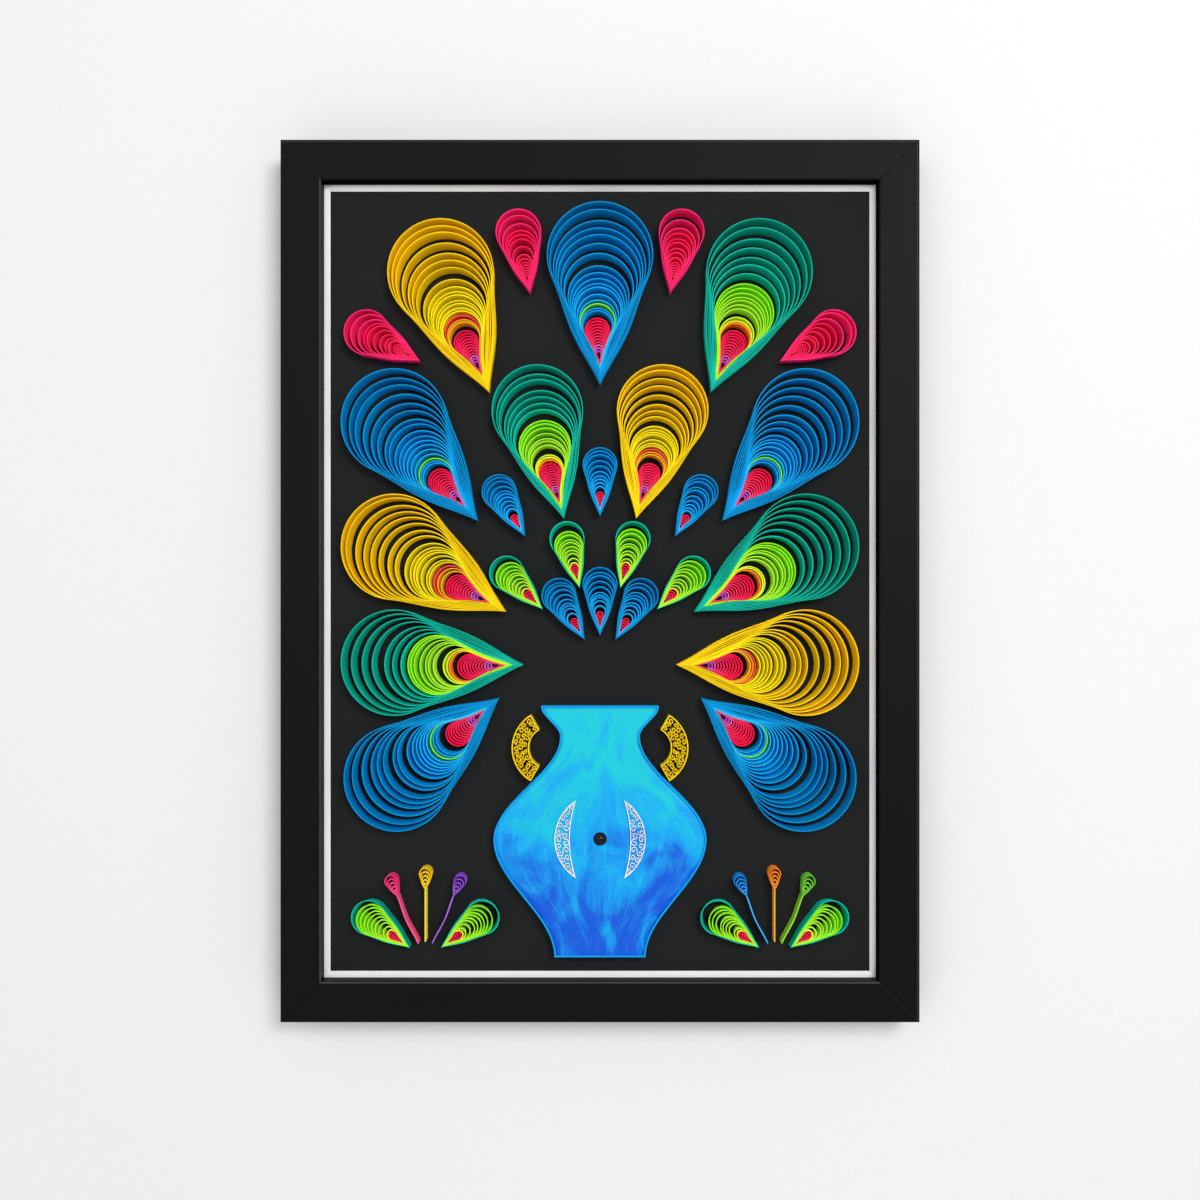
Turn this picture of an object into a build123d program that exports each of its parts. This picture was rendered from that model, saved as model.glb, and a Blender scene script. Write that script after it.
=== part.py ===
"""Framed picture in quilled paper: a black wooden frame around a board with rolled paper drops."""
import math
import os

from build123d import *

os.makedirs("parts", exist_ok=True)

# Frame moulding, in millimetres
FRAME_WIDTH = 336.0
FRAME_HEIGHT = 464.0
FRAME_DEPTH = 22.0
RAIL_FACE = 21.5
LIP_THICKNESS = 8.0
RABBET_WIDTH = 4.5
EDGE_ROUND = 1.2

# Sheets that lie in the rabbet, front to back
SHEET_PLAY = 0.5
MAT_THICKNESS = 1.5
MAT_BORDER = 3.0
BOARD_THICKNESS = 3.0
BACK_THICKNESS = 3.0

# Hanging hardware on the back
STAND_OFF = 3.0
HANG_DROP = 9.0
HANGER_LENGTH = 46.0
HANGER_HEIGHT = 9.0
HANGER_SHEET = 0.8
HANGER_LIFT = 1.6
HANGER_END = 8.0
TOOTH_PITCH = 4.0
TOOTH_DEPTH = 2.2
NAIL_RADIUS = 0.7
NAIL_HEAD_RADIUS = 1.8
NAIL_HEAD_HEIGHT = 0.6
NAIL_LENGTH = 9.0
BUMPER_RADIUS = 5.0
BUMPER_INSET = 16.0
POINT_WIDTH = 9.0
POINT_LENGTH = 16.0
POINT_SHEET = 0.6
POINT_GRIP = 7.0
WEDGE_LEG = 5.0
WEDGE_REACH = 5.0
WEDGE_SHEET = 0.8
WEDGE_DEPTH = 9.0

# Quilled paper: strips stand on edge on the board
STRIP_WIDTH = 8.0
PLUME_LENGTH = 96.0
PLUME_RADIUS = 28.0
PLUME_WALL = 0.8
PINK_LENGTH = 44.0
PINK_RADIUS = 12.0
SCALE_LENGTH = 36.0
SCALE_RADIUS = 9.2
SMALL_WALL = 0.7
BUD_LENGTH = 12.0
BUD_RADIUS = 3.3
STEM_LENGTH = 27.0
STEM_WIDTH = 0.8

# Painted vase and its filigree
VASE_HEIGHT = 132.0
VASE_BELLY = 56.0
VASE_NECK = 21.0
VASE_MOUTH = 31.0
VASE_FOOT = 24.0
VASE_STRIP = 0.8
VASE_PANEL_HEIGHT = 7.0
HANDLE_RADIUS = 20.0
HANDLE_STRIP = 0.9
CRESCENT_RADIUS = 24.0
CRESCENT_WIDTH = 8.0
CRESCENT_HEIGHT = 1.6
BEAD_RADIUS = 3.8
BEAD_SINK = 1.3

# Layout of the picture, across and up from the middle of the window
SIDE_MARGIN = 7.0
TOP_MARGIN = 7.5
FAN_UP = -45.0
LOW_FAN_UP = -20.0
PLUME_GAP = 5.0
COLUMN_TIP = 40.5
COLUMN_UP = -43.0
LOW_INSET = 1.5
HIGH_GAP = 26.7
HIGH_BEARING = 68.0
HIGH_TIP = 75.8
TOP_TIP = 149.0
INNER_BEARING = 76.26
ROW_GAP = 1.82
PINK_RISE = 16.5
PINK_BESIDE = 1.0
PINK_OUT = 26.75
PINK_LIFT = 7.5
PINK_AIM_UP = 65.0
SPRIG_ACROSS = 92.0
SPRIG_DROP = 1.0
LEAF_REACH = 37.0
STEM_START = 9.0
FOOT_UP = -198.0
HANDLE_DROP = 6.16
HANDLE_GAP = 1.6

# Planes along the depth, with the wall at y = 0 and the viewer toward -y
back_y = -STAND_OFF
front_y = back_y - FRAME_DEPTH
mat_front_y = front_y + LIP_THICKNESS
board_y = mat_front_y + MAT_THICKNESS
panel_y = board_y + BOARD_THICKNESS
sheets_back_y = panel_y + BACK_THICKNESS
centre_z = HANG_DROP - FRAME_HEIGHT / 2
sight_width = FRAME_WIDTH - 2 * RAIL_FACE
sight_height = FRAME_HEIGHT - 2 * RAIL_FACE
pocket_width = sight_width + 2 * RABBET_WIDTH
pocket_height = sight_height + 2 * RABBET_WIDTH
window_width = sight_width - 2 * MAT_BORDER
window_height = sight_height - 2 * MAT_BORDER
rail_back = RAIL_FACE - RABBET_WIDTH



def ray(start, bearing, reach):
    """The point that lies a distance away from another along a bearing in degrees."""
    a = math.radians(bearing)
    return (start[0] + reach * math.cos(a), start[1] + reach * math.sin(a))


def between(first, second, across, up):
    """A place beside the middle of two others."""
    return ((first[0] + second[0]) / 2 + across, (first[1] + second[1]) / 2 + up)


# Places in the right half of the picture: everything fans out from a point above the vase's mouth
FAN = (0.0, FAN_UP)
LOW_FAN = (0.0, LOW_FAN_UP)
ROWS = (("blue", 1.2, (60, 90, 120)), ("lime", 1.93, (45, 75.5, 104.5, 135)), ("blue", 2.95, (60, 90, 120)))
INNER_PART = 0.86
plume_reach = PLUME_LENGTH - PLUME_RADIUS
column = COLUMN_TIP + plume_reach
pitch = 2 * PLUME_RADIUS + PLUME_GAP
fourth = (column, COLUMN_UP + 2 * pitch + PLUME_GAP)
inner_tip = ROWS[1][1] * SCALE_LENGTH + SCALE_RADIUS + ROW_GAP
along = ray((0.0, 0.0), HIGH_BEARING, 1.0)
ahead = fourth[0] * along[0] + (fourth[1] - FAN_UP) * along[1]
aside = fourth[0] * along[1] - (fourth[1] - FAN_UP) * along[0]
past_fourth = ahead + math.sqrt(max((2 * PLUME_RADIUS + HIGH_GAP) ** 2 - aside ** 2, 0.0))
fifth = ray(FAN, HIGH_BEARING, max(past_fourth, inner_tip + HIGH_TIP + plume_reach))
top_plume = (0.0, FAN_UP + TOP_TIP + plume_reach)
inner_plume = ray(FAN, INNER_BEARING, inner_tip + INNER_PART * plume_reach)
PLUME_AT = (
    ((column - LOW_INSET, COLUMN_UP - pitch), LOW_FAN),
    ((column, COLUMN_UP), FAN),
    ((column, COLUMN_UP + pitch), FAN),
    (fourth, FAN),
    (fifth, FAN),
)
PINK_AT = (
    (between(top_plume, fifth, PINK_BESIDE, PINK_RISE), FAN),
    (between(fourth, fifth, PINK_OUT, PINK_LIFT), (0.0, PINK_AIM_UP)),
)

# The drawing fills the window: places spread with each side, pieces keep their shape
reach_across = max(column + PLUME_RADIUS, PINK_AT[1][0][0] + PINK_RADIUS)
reach_up = max(top_plume[1] + PLUME_RADIUS, fifth[1] + PLUME_RADIUS, -FOOT_UP)
spread = (window_width / 2 / (reach_across + SIDE_MARGIN), window_height / 2 / (reach_up + TOP_MARGIN))
scale = min(spread)


def spot(point, anchor):
    """Where a drawn point lies: its anchor spreads with the window, the piece around it keeps its shape."""
    return tuple(spread[i] * anchor[i] + scale * (point[i] - anchor[i]) for i in (0, 1))


def wire(points, y):
    """A closed outline of straight runs in the plane y, from points across and up the picture."""
    return Wire.make_polygon([Vector(u, y, v + centre_z) for u, v in points], close=True)


def plate(outline, holes, y, height):
    """A flat figure with openings that stands forward from the plane y."""
    face = Face(wire(outline, y), [wire(hole, y) for hole in holes])
    return Solid.extrude(face, Vector(0, -height, 0))


def slab(width, height, y, depth):
    """A rectangular sheet centred on the picture, from the plane y toward the viewer."""
    return Pos(0, y - depth / 2, centre_z) * Box(width, depth, height)


def ring(count, radius, centre=(0.0, 0.0)):
    """The corners of a regular polygon."""
    turns = [2 * math.pi * i / count for i in range(count)]
    return [(centre[0] + radius * math.cos(a), centre[1] + radius * math.sin(a)) for a in turns]


def save(name, shape):
    """One file for each piece."""
    export_step(shape, f"parts/{name}.step")


# Boards: white mat with a bevelled window, black art board, fibre back panel
sheet_width = pocket_width - 2 * SHEET_PLAY
sheet_height = pocket_height - 2 * SHEET_PLAY
mat = slab(sheet_width, sheet_height, board_y, MAT_THICKNESS)
window = Rectangle(window_width, window_height)
bevel = loft([
    Plane((0, board_y, centre_z), x_dir=(1, 0, 0), z_dir=(0, -1, 0)) * window,
    Plane((0, mat_front_y, centre_z), x_dir=(1, 0, 0), z_dir=(0, -1, 0)) * offset(
        window, MAT_THICKNESS, kind=Kind.INTERSECTION),
])
save("window_mat", mat - bevel)
save("art_board", slab(sheet_width, sheet_height, panel_y, BOARD_THICKNESS))
save("back_panel", slab(sheet_width, sheet_height, sheets_back_y, BACK_THICKNESS))

# Retaining points: steel tabs pushed into the rabbet wall behind the back panel
points = []
for side, run, reach in (
    ((1, 0), pocket_height, pocket_width / 2),
    ((-1, 0), pocket_height, pocket_width / 2),
    ((0, 1), pocket_width, pocket_height / 2),
    ((0, -1), pocket_width, pocket_height / 2),
):
    out = reach + POINT_GRIP - POINT_LENGTH / 2
    for step in (-0.3, 0.3):
        along = step * run
        place = Pos(
            side[0] * out + abs(side[1]) * along,
            sheets_back_y + POINT_SHEET / 2,
            side[1] * out + abs(side[0]) * along + centre_z,
        )
        points.append(place * Box(
            POINT_LENGTH if side[0] else POINT_WIDTH,
            POINT_SHEET,
            POINT_LENGTH if side[1] else POINT_WIDTH,
        ))
save("retaining_points", Compound(children=points))

# Corner wedges: V-shaped steel driven across each mitre from the back
wedges = []
for sx in (-1, 1):
    for sz in (-1, 1):
        mid = (sx * (FRAME_WIDTH - rail_back) / 2, sz * (FRAME_HEIGHT - rail_back) / 2)
        along = (sx * math.sqrt(0.5), sz * math.sqrt(0.5))
        across = (-along[1], along[0])
        outline = []
        for reach, lift in ((-1, 0), (0, -1), (1, 0)):
            outline.append((
                mid[0] + across[0] * reach * WEDGE_REACH + along[0] * lift * WEDGE_LEG,
                mid[1] + across[1] * reach * WEDGE_REACH + along[1] * lift * WEDGE_LEG,
            ))
        outline += [(u + along[0] * WEDGE_SHEET, v + along[1] * WEDGE_SHEET) for u, v in reversed(outline)]
        wedges.append(plate(outline, [], back_y, WEDGE_DEPTH))
save("corner_wedges", Compound(children=wedges))

# Sawtooth hanger on the top rail, its middle notch at the origin, and the two nails that hold it
rise = HANGER_END + 2 * HANGER_LIFT
half = HANGER_LENGTH / 2
bend = [
    (-half, 0), (-half + HANGER_END, 0), (-half + rise, HANGER_LIFT),
    (half - rise, HANGER_LIFT), (half - HANGER_END, 0), (half, 0),
]
section = bend + [(u, d + HANGER_SHEET) for u, d in reversed(bend)]
base = Face(Wire.make_polygon([Vector(u, back_y + d, -TOOTH_DEPTH) for u, d in section], close=True))
hanger = Solid.extrude(base, Vector(0, 0, HANGER_HEIGHT))
teeth = int((HANGER_LENGTH - 2 * rise) / TOOTH_PITCH / 2)
saw = [(-(teeth + 0.5) * TOOTH_PITCH, -2 * TOOTH_DEPTH)]
for i in range(-teeth, teeth + 1):
    saw += [(i * TOOTH_PITCH, 0.0), ((i + 0.5) * TOOTH_PITCH, -TOOTH_DEPTH)]
saw.append(((teeth + 0.5) * TOOTH_PITCH, -2 * TOOTH_DEPTH))
hanger -= plate([(u, v - centre_z) for u, v in saw], [], 0, STAND_OFF)
nails = []
for sx in (-1, 1):
    at = (sx * (half - HANGER_END / 2), HANGER_HEIGHT / 2 - TOOTH_DEPTH - centre_z)
    seat_y = back_y + HANGER_SHEET
    shank = plate(ring(6, NAIL_RADIUS, at), [], seat_y, NAIL_LENGTH)
    head = plate(ring(10, NAIL_HEAD_RADIUS, at), [], seat_y + NAIL_HEAD_HEIGHT, NAIL_HEAD_HEIGHT)
    nails.append(shank.fuse(head))
for nail in nails:
    hanger -= nail
save("sawtooth_hanger", hanger)
save("hanger_nails", Compound(children=nails))

# Felt bumpers that keep the lower corners as far from the wall as the hanger
bumpers = []
for sx in (-1, 1):
    at = (sx * (FRAME_WIDTH / 2 - BUMPER_INSET), rail_back / 2 - FRAME_HEIGHT / 2)
    bumpers.append(plate(ring(12, BUMPER_RADIUS, at), [], 0, STAND_OFF))
save("wall_bumpers", Compound(children=bumpers))

# Frame rails: one rabbeted moulding with eased front edges, mitred at the corners
pocket = slab(pocket_width, pocket_height, back_y, FRAME_DEPTH - LIP_THICKNESS)
fittings = points + wedges + nails
outer = [(sx * FRAME_WIDTH / 2, sz * FRAME_HEIGHT / 2) for sx, sz in ((-1, 1), (1, 1), (1, -1), (-1, -1))]
inner = [(sx * sight_width / 2, sz * sight_height / 2) for sx, sz in ((-1, 1), (1, 1), (1, -1), (-1, -1))]
for i, name in enumerate(("top_rail", "right_rail", "bottom_rail", "left_rail")):
    j = (i + 1) % 4
    rail = plate([outer[i], outer[j], inner[j], inner[i]], [], back_y, FRAME_DEPTH) - pocket
    long_axis = Axis.X if i % 2 == 0 else Axis.Z
    rail = fillet(rail.edges().filter_by(long_axis).group_by(Axis.Y)[0], EDGE_ROUND)
    for fitting in fittings:
        rail -= fitting
    save(name, rail)


# Where the gaps between turns end on the open flank, as a part of its length from the tip,
# and how far a drop's flanks swell out, as a part of its length
GAP_TOE = 0.12
FLANK_SWELL = 0.022


def turn(q, inset, length, radius, lean, count):
    """One turn of a leaning teardrop coil, inset by a wall: a point on its open flank, then its round end.

    Turns run from the outer one at q = 0 to the core at q = 1. Round end, tip and lean all change
    in proportion to q, so the turns crowd at the tip and on one flank and spread at the round end.
    """
    tip = 0.20 * length * q
    reach = (length - radius) * (1 - q) + 0.36 * length * q
    shift = lean * 0.15 * radius * q
    size = radius * (1 - q) + 0.11 * radius * q
    heading = math.atan2(shift, reach - tip)
    flank = math.asin(size / math.hypot(shift, reach - tip))
    start = heading - lean * (math.pi / 2 + flank)
    sweep = lean * (math.pi + 2 * flank)
    angles = [start + sweep * i / count for i in range(count + 1)]
    arc = [(reach + (size - inset) * math.cos(a), shift + (size - inset) * math.sin(a)) for a in angles]
    nose = tip + inset / math.sin(flank)
    toe = (nose + (arc[0][0] - nose) * GAP_TOE, arc[0][1] * GAP_TOE)
    return [toe] + arc


def coil(at, aim, length, radius, lean, gaps, wall, bends, anchor=None):
    """A rolled and pinched paper drop: its turns are walls with crescent gaps between them."""
    facing = math.atan2(at[1] - aim[1], at[0] - aim[0])
    tip = (at[0] - (length - radius) * math.cos(facing), at[1] - (length - radius) * math.sin(facing))

    def put(points):
        return [spot((
            tip[0] + s * math.cos(facing) - t * math.sin(facing),
            tip[1] + s * math.sin(facing) + t * math.cos(facing),
        ), anchor or at) for s, t in points]

    edge = turn(0.0, 0.0, length, radius, lean, bends + 2)[1:]
    swell = FLANK_SWELL * length / radius
    first, last = [(s / 2 + swell * (s - length + radius), t / 2 + swell * t) for s, t in (edge[0], edge[-1])]
    outline = [(0.0, 0.0), first] + edge + [last]
    holes = [put(ring(5, 0.06 * radius, (0.36 * length, lean * 0.15 * radius)))]
    for i in range(gaps):
        outside = turn(i / gaps, wall, length, radius, lean, bends - i)
        inside = turn((i + 1) / gaps, 0.0, length, radius, lean, bends - i)
        holes.append(put(outside + inside[::-1]))
    return plate(put(outline), holes, board_y, STRIP_WIDTH)


# Plumes: five on each side, one at the top and a smaller pair inside the fan
plumes = {"plume_top": (top_plume, FAN, 1)}
for i, ((u, v), aim) in enumerate(PLUME_AT):
    plumes[f"plume_left_{i + 1}"] = ((-u, v), aim, 1)
    plumes[f"plume_right_{i + 1}"] = ((u, v), aim, -1)
for name, (at, aim, lean) in plumes.items():
    save(name, coil(at, aim, PLUME_LENGTH, PLUME_RADIUS, lean, 5, PLUME_WALL, 8))
for name, side in (("left", -1), ("right", 1)):
    at = (side * inner_plume[0], inner_plume[1])
    save(f"plume_inner_{name}", coil(
        at, FAN, PLUME_LENGTH * INNER_PART, PLUME_RADIUS * INNER_PART, -side, 5, PLUME_WALL, 8))

# Pink drops between the plumes at the top and at the sides
for i, (at, aim) in enumerate(PINK_AT):
    for name, side in (("left", -1), ("right", 1)):
        save(f"pink_drop_{name}_{i + 1}", coil(
            (side * at[0], at[1]), aim, PINK_LENGTH, PINK_RADIUS, side, 3, SMALL_WALL, 6))

# Blue and lime drops in staggered rows above the mouth
counts = {"blue": 0, "lime": 0}
for colour, reach, bearings in ROWS:
    for bearing in bearings:
        counts[colour] += 1
        lean = 1 if bearing > 90 else -1
        save(f"{colour}_drop_{counts[colour]}", coil(
            ray(FAN, bearing, reach * SCALE_LENGTH), FAN, SCALE_LENGTH, SCALE_RADIUS, lean, 2, SMALL_WALL, 5))

# Sprigs beside the foot: two lime leaves and three buds on stems each
LEAF_BEARINGS = (36, 144)
BUD_BEARINGS = (66, 90, 114)
buds = 0
for side in (-1, 1):
    root = (side * SPRIG_ACROSS, FOOT_UP - SPRIG_DROP)
    for bearing in LEAF_BEARINGS:
        counts["lime"] += 1
        lean = 1 if bearing > 90 else -1
        save(f"lime_drop_{counts['lime']}", coil(
            ray(root, bearing, LEAF_REACH), root, SCALE_LENGTH, SCALE_RADIUS, lean, 2, SMALL_WALL, 5, root))
    for bearing in BUD_BEARINGS:
        buds += 1
        ahead = ray((0.0, 0.0), bearing, 1.0)
        beside = (-ahead[1], ahead[0])
        flank = math.asin(BUD_RADIUS / (BUD_LENGTH - BUD_RADIUS))
        far = STEM_START + STEM_LENGTH + BUD_LENGTH - BUD_RADIUS
        neck = far - BUD_LENGTH + BUD_RADIUS + STEM_WIDTH / 2 / math.tan(flank)
        head = [(far + BUD_RADIUS * math.cos(b), BUD_RADIUS * math.sin(b)) for b in (
            -(math.pi / 2 + flank) + (math.pi + 2 * flank) * i / 7 for i in range(8))]
        edge = [(STEM_START, -STEM_WIDTH / 2), (neck, -STEM_WIDTH / 2)] + head
        edge += [(neck, STEM_WIDTH / 2), (STEM_START, STEM_WIDTH / 2)]
        hole = ring(6, BUD_RADIUS - 2 * SMALL_WALL, (far, 0.0))
        place = [[spot((
            root[0] + s * ahead[0] + t * beside[0],
            root[1] + s * ahead[1] + t * beside[1],
        ), root) for s, t in line] for line in (edge, hole)]
        save(f"stem_bud_{buds}", plate(place[0], [place[1]], board_y, STRIP_WIDTH))

# Vase: a raised painted panel inside an edging strip
BELLY_SHARE = 0.47
NECK_SHARE = 0.88
foot = (0.0, FOOT_UP)
stations = ((0.0, VASE_FOOT), (BELLY_SHARE, VASE_BELLY), (NECK_SHARE, VASE_NECK), (1.0, VASE_MOUTH))


def vase_half_width(share):
    """Half the vase's width at a share of its height: half cosine waves between the named widths."""
    for (low, wide), (high, next_wide) in zip(stations, stations[1:]):
        if share <= high:
            ease = (1 - math.cos(math.pi * (share - low) / (high - low))) / 2
            return wide + (next_wide - wide) * ease
    return VASE_MOUTH


shares = [low + (high - low) * i / 6 for (low, _), (high, _) in zip(stations, stations[1:]) for i in range(6)]
right_side = [spot((vase_half_width(a), FOOT_UP + VASE_HEIGHT * a), foot) for a in shares + [1.0]]
left_side = [(-u, v) for u, v in reversed(right_side)]
vase_outline = make_face(Polyline(*right_side, *left_side, close=True))
vase_inner = offset(vase_outline, -VASE_STRIP, kind=Kind.INTERSECTION)
on_board = Plane((0, board_y, centre_z), x_dir=(1, 0, 0), z_dir=(0, -1, 0))
save("vase_panel", extrude(on_board * vase_inner, VASE_PANEL_HEIGHT))
save("vase_edging", extrude(on_board * (vase_outline - vase_inner), STRIP_WIDTH))

# Gold filigree handles beside the neck, each a curl of strip around small coils
HANDLE_SPREAD = math.radians(60)
handle_up = FOOT_UP + NECK_SHARE * VASE_HEIGHT - HANDLE_DROP


def handle_arc(reach, steps):
    """Points on the handle's curve around its own middle, from its lower end to its upper end."""
    angles = [HANDLE_SPREAD * (2 * i / steps - 1) for i in range(steps + 1)]
    return [(reach * math.cos(a), reach * math.sin(a)) for a in angles]


# The handle leans against the vase: its middle lies where its nearest point just clears the side
rests = []
for u, v in handle_arc(HANDLE_RADIUS, 40) + handle_arc(0.55 * HANDLE_RADIUS, 40):
    rests.append(vase_half_width((handle_up + v - FOOT_UP) / VASE_HEIGHT) - u)
handle_across = max(rests) + HANDLE_GAP
for name, side in (("left", -1), ("right", 1)):
    coils = handle_arc(0.77 * HANDLE_RADIUS, 5)[1:-1]
    coil_radius = 0.77 * HANDLE_RADIUS * HANDLE_SPREAD / 5 - HANDLE_STRIP / 2
    rim = handle_arc(HANDLE_RADIUS, 8) + handle_arc(0.55 * HANDLE_RADIUS, 6)[::-1]
    figure = [rim] + [ring(6, coil_radius, centre) for centre in coils]
    placed = [[spot((side * (handle_across + u), handle_up + v), foot) for u, v in line] for line in figure]
    save(f"gold_handle_{name}", plate(placed[0], placed[1:], board_y, STRIP_WIDTH))

# White filigree crescents and the glossy bead on the vase's belly
bead_up = FOOT_UP + BELLY_SHARE * VASE_HEIGHT
panel_front_y = board_y - VASE_PANEL_HEIGHT
half_angle = math.radians(58)
chord = CRESCENT_RADIUS * math.sin(half_angle)
depth = CRESCENT_RADIUS * (1 - math.cos(half_angle))
for name, side in (("left", -1), ("right", 1)):
    edge = []
    for i in range(11):
        a = half_angle * (i / 5 - 1)
        edge.append((CRESCENT_RADIUS * math.cos(a), CRESCENT_RADIUS * math.sin(a)))
    for i in range(1, 7):
        across = chord * (1 - 2 * i / 7)
        hollow = (depth - CRESCENT_WIDTH) * (1 - (across / chord) ** 2)
        edge.append((CRESCENT_RADIUS - depth + hollow, across))
    holes = []
    for along, share in ((0.0, 0.33), (-0.42, 0.25), (0.42, 0.25)):
        a = half_angle * along
        reach = CRESCENT_RADIUS - CRESCENT_WIDTH / 2 - 0.2 * CRESCENT_WIDTH * abs(along)
        holes.append(ring(6, CRESCENT_WIDTH * share, (reach * math.cos(a), reach * math.sin(a))))
    placed = [[spot((side * u, bead_up + v), foot) for u, v in line] for line in [edge] + holes]
    save(f"white_crescent_{name}", plate(placed[0], placed[1:], panel_front_y, CRESCENT_HEIGHT))
facets = 14
rows = []
for share in (0.0, 0.4, 0.75, 0.96):
    lift = (BEAD_RADIUS - BEAD_SINK) * share
    reach = math.sqrt(BEAD_RADIUS ** 2 - (BEAD_SINK + lift) ** 2)
    middle = spot((0.0, bead_up), foot)
    rows.append([Vector(u, panel_front_y - lift, v + centre_z) for u, v in ring(facets, reach, middle)])
bead_faces = [Face(Wire.make_polygon(row, close=True)) for row in (rows[0], rows[-1])]
for low, high in zip(rows, rows[1:]):
    for i in range(facets):
        j = (i + 1) % facets
        bead_faces.append(Face(Wire.make_polygon([low[i], low[j], high[j], high[i]], close=True)))
save("vase_bead", Solid(Shell(bead_faces)))
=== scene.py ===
import bpy
import numpy as np
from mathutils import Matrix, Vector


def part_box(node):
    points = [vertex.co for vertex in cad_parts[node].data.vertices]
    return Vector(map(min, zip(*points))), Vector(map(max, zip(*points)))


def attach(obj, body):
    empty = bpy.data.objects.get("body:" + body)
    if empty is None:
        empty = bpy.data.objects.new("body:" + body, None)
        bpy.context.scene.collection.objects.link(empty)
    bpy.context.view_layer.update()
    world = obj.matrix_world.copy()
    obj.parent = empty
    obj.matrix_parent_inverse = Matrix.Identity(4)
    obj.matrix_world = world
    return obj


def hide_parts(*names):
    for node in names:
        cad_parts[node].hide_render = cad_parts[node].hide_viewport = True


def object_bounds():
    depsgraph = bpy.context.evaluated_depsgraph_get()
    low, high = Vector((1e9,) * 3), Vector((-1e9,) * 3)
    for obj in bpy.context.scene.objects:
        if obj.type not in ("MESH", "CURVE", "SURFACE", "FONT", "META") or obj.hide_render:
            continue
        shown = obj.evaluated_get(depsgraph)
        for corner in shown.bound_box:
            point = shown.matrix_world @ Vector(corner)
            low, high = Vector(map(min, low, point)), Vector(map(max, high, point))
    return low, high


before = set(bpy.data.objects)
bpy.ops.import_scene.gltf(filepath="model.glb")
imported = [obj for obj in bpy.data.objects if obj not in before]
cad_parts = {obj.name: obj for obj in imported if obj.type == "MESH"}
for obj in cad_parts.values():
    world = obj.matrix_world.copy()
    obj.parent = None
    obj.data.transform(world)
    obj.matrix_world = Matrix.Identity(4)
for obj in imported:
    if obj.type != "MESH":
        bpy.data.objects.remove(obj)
cad_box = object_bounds()


# Art board: a stiff sheet of black card that carries the whole picture.
# It is cut to the frame's rabbet, and the paper work and the vase are glued to its front face.
MM = 0.001
board_low, board_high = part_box("art_board")
board_front = board_low.y
middle_z = (board_low.z + board_high.z) / 2


def linear(code):
    """An sRGB hex colour as linear light: each channel goes through the sRGB curve, and alpha is 1."""
    channels = np.array([int(code[i:i + 2], 16) for i in (1, 3, 5)]) / 255
    return (*np.where(channels <= 0.04045, channels / 12.92, ((channels + 0.055) / 1.055) ** 2.4), 1.0)


def join(tree, node, inputs):
    """Sets a node's sockets: another node's output is linked, a plain value is set."""
    for socket, value in inputs.items():
        if isinstance(value, bpy.types.NodeSocket):
            tree.links.new(value, node.inputs[socket])
        else:
            node.inputs[socket].default_value = value
    return node


def add(tree, kind, inputs, **settings):
    """Adds one node with its own settings and its sockets, by name or number, and gives back the node.
    A Mix has its factor at 0 and its colours at 6 and 7. A MapRange has its value at 0, the range that
    the value comes from at 1 and 2, and the range that it goes to at 3 and 4."""
    node = tree.nodes.new("ShaderNode" + kind)
    for field, value in settings.items():
        setattr(node, field, value)
    return join(tree, node, inputs)


def start_material(name):
    """A new material with its node tree, its shader and its Object coordinates in metres."""
    material = bpy.data.materials.new(name)
    material.use_nodes = True
    tree = material.node_tree
    place = add(tree, "TexCoord", {}).outputs["Object"]
    return material, tree, tree.nodes["Principled BSDF"], place


def dress(material, *nodes):
    """Gives CAD nodes a finish in place of their plain one."""
    for node in nodes:
        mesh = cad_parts[node].data
        mesh.materials.clear()
        mesh.materials.append(material)


# Black card: pressed paper with a fine tooth, so it is matt, and rubbed a little lighter in clouds
card, tree, shader, place = start_material("black_card")
tooth = add(tree, "TexNoise", {"Vector": place, "Scale": 1 / (0.9 * MM), "Detail": 3.0}).outputs[0]
cloud = add(tree, "TexNoise", {"Vector": place, "Scale": 1 / (70 * MM), "Detail": 4.0}).outputs[0]
clouded = {0: cloud, 6: linear("#121313"), 7: linear("#1D1F1F")}
rubbed = add(tree, "Mix", clouded, data_type="RGBA").outputs[2]
grainy = add(tree, "Mix", {0: tooth, 6: rubbed, 7: linear("#202222")}, data_type="RGBA").outputs[2]
rough = add(tree, "MapRange", {0: tooth, 3: 0.72, 4: 0.9}).outputs[0]
bump = add(tree, "Bump", {"Strength": 0.3, "Distance": 0.08 * MM, "Height": tooth}).outputs[0]
join(tree, shader, {"Base Color": grainy, "Roughness": rough, "Normal": bump, "Specular IOR Level": 0.12})
dress(card, "art_board")


# Vase panel: a shape sawn from thick board, painted by hand with acrylic and glued on the art board.
# Its outline runs foot, belly, neck, mouth, in half cosine waves between those widths.
VASE_FOOT_UP, VASE_TALL = -198.0, 132.0
VASE_STATIONS = np.array([0.0, 0.47, 0.88, 1.0])
VASE_WIDTHS = np.array([24.0, 56.0, 21.0, 31.0])
VASE_STRIP = 0.8
EASE_WIDE, EASE_DEEP = 1.0, 0.5
STROKES_WIDE, PATCHES_FROM = 40.0, (4.3, 2.6, 0)
PANEL_ROWS, PANEL_COLUMNS = 121, 41
SHARP_FROM = np.radians(40)
panel_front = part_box("vase_panel")[0].y


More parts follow.
